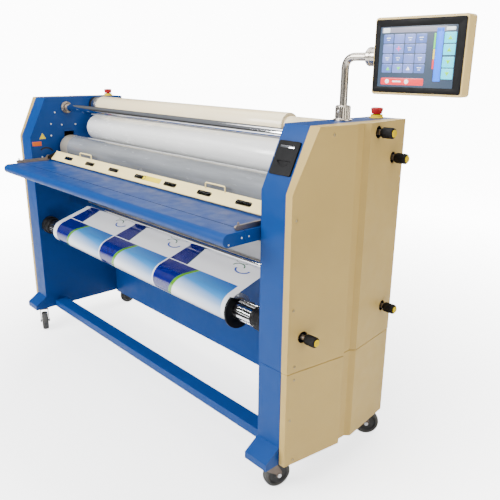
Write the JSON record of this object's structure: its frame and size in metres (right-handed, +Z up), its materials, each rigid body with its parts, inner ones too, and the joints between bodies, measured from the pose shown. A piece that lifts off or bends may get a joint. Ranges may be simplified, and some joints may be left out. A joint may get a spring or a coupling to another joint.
{
  "type": "cold roll laminator",
  "caption": "Free-standing cold roll laminator: side towers, nip rollers, film and liner rolls, infeed table, printed roll below, touch-screen panel and casters.",
  "frame": {"origin": "on the floor, under the middle of the whole machine's box", "axes": "+X along the rollers to the operator panel's side, -Y is the operator's side with the infeed table, +Z up"},
  "size_m": [2.3254, 0.7436, 1.555],
  "materials": {
    "blue_paint": "satin powder coat",
    "cream_paint": "satin powder coat",
    "ivory_paint": "satin powder coat",
    "arm_steel": "dull plated",
    "shaft_steel": "ground",
    "silicone": "smooth silicone",
    "block_metal": "machined",
    "chrome": "polished",
    "film": "glossy vinyl film",
    "hub_grey": "turned",
    "liner_paper": "coated release paper",
    "print": "laminated print",
    "black_plastic": "moulded",
    "arm_tube": "satin",
    "housing_cream": "cream coat",
    "screen": "glass-like front film",
    "yellow_plastic": "moulded",
    "red_plastic": "moulded",
    "fork_metal": "black zinc",
    "tyre": "rubber tyre"
  },
  "bodies": {
    "machine": {"left_side_frame": "blue_paint", "right_side_frame": "blue_paint", "left_cover_upper": "cream_paint", "left_cover_lower": "cream_paint", "right_cover_upper": "cream_paint", "right_cover_lower": "cream_paint", "front_cross_bar": "blue_paint", "rear_cross_panel": "blue_paint", "table_deck": "blue_paint", "table_arm_left": "arm_steel", "table_arm_right": "arm_steel", "tension_bar_flange_left": "chrome", "tension_bar_flange_right": "chrome", "media_chuck_left": "black_plastic", "media_chuck_right": "black_plastic", "printed_web": "print", "hmi_clamp": "arm_tube", "estop_base_left": "yellow_plastic", "estop_base_right": "yellow_plastic", "control_panel": "black_plastic", "drive_motor": "block_metal", "mains_inlet": "black_plastic"},
    "table_flap": {"table_flap": "blue_paint"},
    "nip_guard": {"nip_guard": "ivory_paint"},
    "lift": {"lift_block_left": "block_metal", "lift_block_right": "block_metal", "film_web": "film"},
    "top_roller": {"top_roller_shaft": "shaft_steel", "top_roller_sleeve": "silicone"},
    "bottom_roller": {"bottom_roller_shaft": "shaft_steel", "bottom_roller_sleeve": "silicone"},
    "motor_drive": {"motor_sprocket": "shaft_steel"},
    "film": {"film_shaft": "shaft_steel", "film_roll": "film"},
    "liner": {"liner_shaft": "hub_grey", "liner_roll": "liner_paper"},
    "media": {"media_shaft": "chrome", "media_roll": "print", "media_flange": "black_plastic"},
    "tension_bar": {"tension_bar": "chrome"},
    "lower_idler": {"lower_idler": "chrome"},
    "panel_arm": {"hmi_arm": "arm_tube", "hmi_tilt_collar": "arm_tube"},
    "panel": {"hmi_housing": "housing_cream", "hmi_touch_panel": "screen"},
    "knob_liner": {"brake_knob_liner": "black_plastic"},
    "knob_film": {"brake_knob_film": "black_plastic"},
    "knob_media": {"brake_knob_media": "black_plastic"},
    "knob_rewind": {"brake_knob_rewind": "black_plastic"},
    "estop_left": {"estop_button_left": "red_plastic"},
    "estop_right": {"estop_button_right": "red_plastic"},
    "fork_front_left": {"caster_fork_front_left": "fork_metal"},
    "wheel_front_left": {"caster_wheel_front_left": "tyre"},
    "fork_front_right": {"caster_fork_front_right": "fork_metal"},
    "wheel_front_right": {"caster_wheel_front_right": "tyre"},
    "fork_rear_left": {"caster_fork_rear_left": "fork_metal"},
    "wheel_rear_left": {"caster_wheel_rear_left": "tyre"},
    "fork_rear_right": {"caster_fork_rear_right": "fork_metal"},
    "wheel_rear_right": {"caster_wheel_rear_right": "tyre"}
  },
  "joints": [
    {"name": "nip_lift", "type": "slide", "parent": "machine", "child": "lift", "axis": [0, 0, 1], "range_m": [0, 0.025]},
    {"name": "top_roller_spin", "type": "hinge", "parent": "lift", "child": "top_roller", "pos_m": [-0.14771, -0.01422, 0.9995], "axis": [1, 0, 0], "continuous": true},
    {"name": "bottom_roller_spin", "type": "hinge", "parent": "machine", "child": "bottom_roller", "pos_m": [-0.14771, -0.01422, 0.8725], "axis": [1, 0, 0], "continuous": true},
    {"name": "motor_spin", "type": "hinge", "parent": "machine", "child": "motor_drive", "pos_m": [-0.14771, -0.01422, 0.64], "axis": [1, 0, 0], "continuous": true},
    {"name": "film_spin", "type": "hinge", "parent": "machine", "child": "film", "pos_m": [-0.14771, 0.12978, 1.095], "axis": [1, 0, 0], "continuous": true},
    {"name": "liner_spin", "type": "hinge", "parent": "machine", "child": "liner", "pos_m": [-0.14771, 0.15778, 1.208], "axis": [1, 0, 0], "continuous": true},
    {"name": "media_spin", "type": "hinge", "parent": "machine", "child": "media", "pos_m": [-0.14771, -0.16222, 0.594], "axis": [1, 0, 0], "continuous": true},
    {"name": "tension_bar_spin", "type": "hinge", "parent": "machine", "child": "tension_bar", "pos_m": [-0.14771, -0.01422, 1.202], "axis": [1, 0, 0], "continuous": true},
    {"name": "lower_idler_spin", "type": "hinge", "parent": "machine", "child": "lower_idler", "pos_m": [-0.14771, -0.02222, 0.719], "axis": [1, 0, 0], "continuous": true},
    {"name": "guard_swing", "type": "hinge", "parent": "machine", "child": "nip_guard", "pos_m": [-0.14771, -0.14522, 0.956], "axis": [1, 0, 0], "range_deg": [0, 90]},
    {"name": "flap_fold", "type": "hinge", "parent": "machine", "child": "table_flap", "pos_m": [-0.14771, -0.28222, 0.896], "axis": [1, 0, 0], "range_deg": [0, 90]},
    {"name": "knob_liner_turn", "type": "hinge", "parent": "machine", "child": "knob_liner", "pos_m": [0.85229, 0.13978, 1.221], "axis": [1, 0, 0], "continuous": true},
    {"name": "knob_film_turn", "type": "hinge", "parent": "machine", "child": "knob_film", "pos_m": [0.85229, 0.25078, 1.129], "axis": [1, 0, 0], "continuous": true},
    {"name": "knob_media_turn", "type": "hinge", "parent": "machine", "child": "knob_media", "pos_m": [0.85229, -0.16222, 0.594], "axis": [1, 0, 0], "continuous": true},
    {"name": "knob_rewind_turn", "type": "hinge", "parent": "machine", "child": "knob_rewind", "pos_m": [0.85229, 0.25778, 0.589], "axis": [1, 0, 0], "continuous": true},
    {"name": "panel_swivel", "type": "hinge", "parent": "machine", "child": "panel_arm", "pos_m": [0.75229, 0.08778, 1.3], "axis": [0, 0, 1], "range_deg": [-90, 90]},
    {"name": "panel_tilt", "type": "hinge", "parent": "panel_arm", "child": "panel", "pos_m": [0.85714, 0.09327, 1.448], "axis": [0.9986, 0.0523, 0], "range_deg": [-40, 40]},
    {"name": "estop_left_press", "type": "slide", "parent": "machine", "child": "estop_left", "axis": [0, 0, -1], "range_m": [0, 0.005], "stiffness_N_per_m": 800},
    {"name": "estop_right_press", "type": "slide", "parent": "machine", "child": "estop_right", "axis": [0, 0, -1], "range_m": [0, 0.005], "stiffness_N_per_m": 800},
    {"name": "caster_front_left_swivel", "type": "hinge", "parent": "machine", "child": "fork_front_left", "pos_m": [-1.04771, -0.22222, 0.11], "axis": [0, 0, 1], "continuous": true},
    {"name": "caster_front_left_roll", "type": "hinge", "parent": "fork_front_left", "child": "wheel_front_left", "pos_m": [-1.01201, -0.23522, 0.05], "axis": [0.342, 0.9397, 0], "continuous": true},
    {"name": "caster_front_right_swivel", "type": "hinge", "parent": "machine", "child": "fork_front_right", "pos_m": [0.75229, -0.22222, 0.11], "axis": [0, 0, 1], "continuous": true},
    {"name": "caster_front_right_roll", "type": "hinge", "parent": "fork_front_right", "child": "wheel_front_right", "pos_m": [0.76212, -0.18552, 0.05], "axis": [-0.9659, 0.2588, 0], "continuous": true},
    {"name": "caster_rear_left_swivel", "type": "hinge", "parent": "machine", "child": "fork_rear_left", "pos_m": [-1.04771, 0.28278, 0.11], "axis": [0, 0, 1], "continuous": true},
    {"name": "caster_rear_left_roll", "type": "hinge", "parent": "fork_rear_left", "child": "wheel_rear_left", "pos_m": [-1.05431, 0.3202, 0.05], "axis": [-0.9848, -0.1736, 0], "continuous": true},
    {"name": "caster_rear_right_swivel", "type": "hinge", "parent": "machine", "child": "fork_rear_right", "pos_m": [0.75229, 0.28278, 0.11], "axis": [0, 0, 1], "continuous": true},
    {"name": "caster_rear_right_roll", "type": "hinge", "parent": "fork_rear_right", "child": "wheel_rear_right", "pos_m": [0.78053, 0.30821, 0.05], "axis": [-0.6691, 0.7431, 0], "continuous": true}
  ],
  "couplings": [
    {"joint": "top_roller_spin", "follows": "bottom_roller_spin", "ratio": -1},
    {"joint": "motor_spin", "follows": "bottom_roller_spin", "ratio": 1.6667}
  ]
}
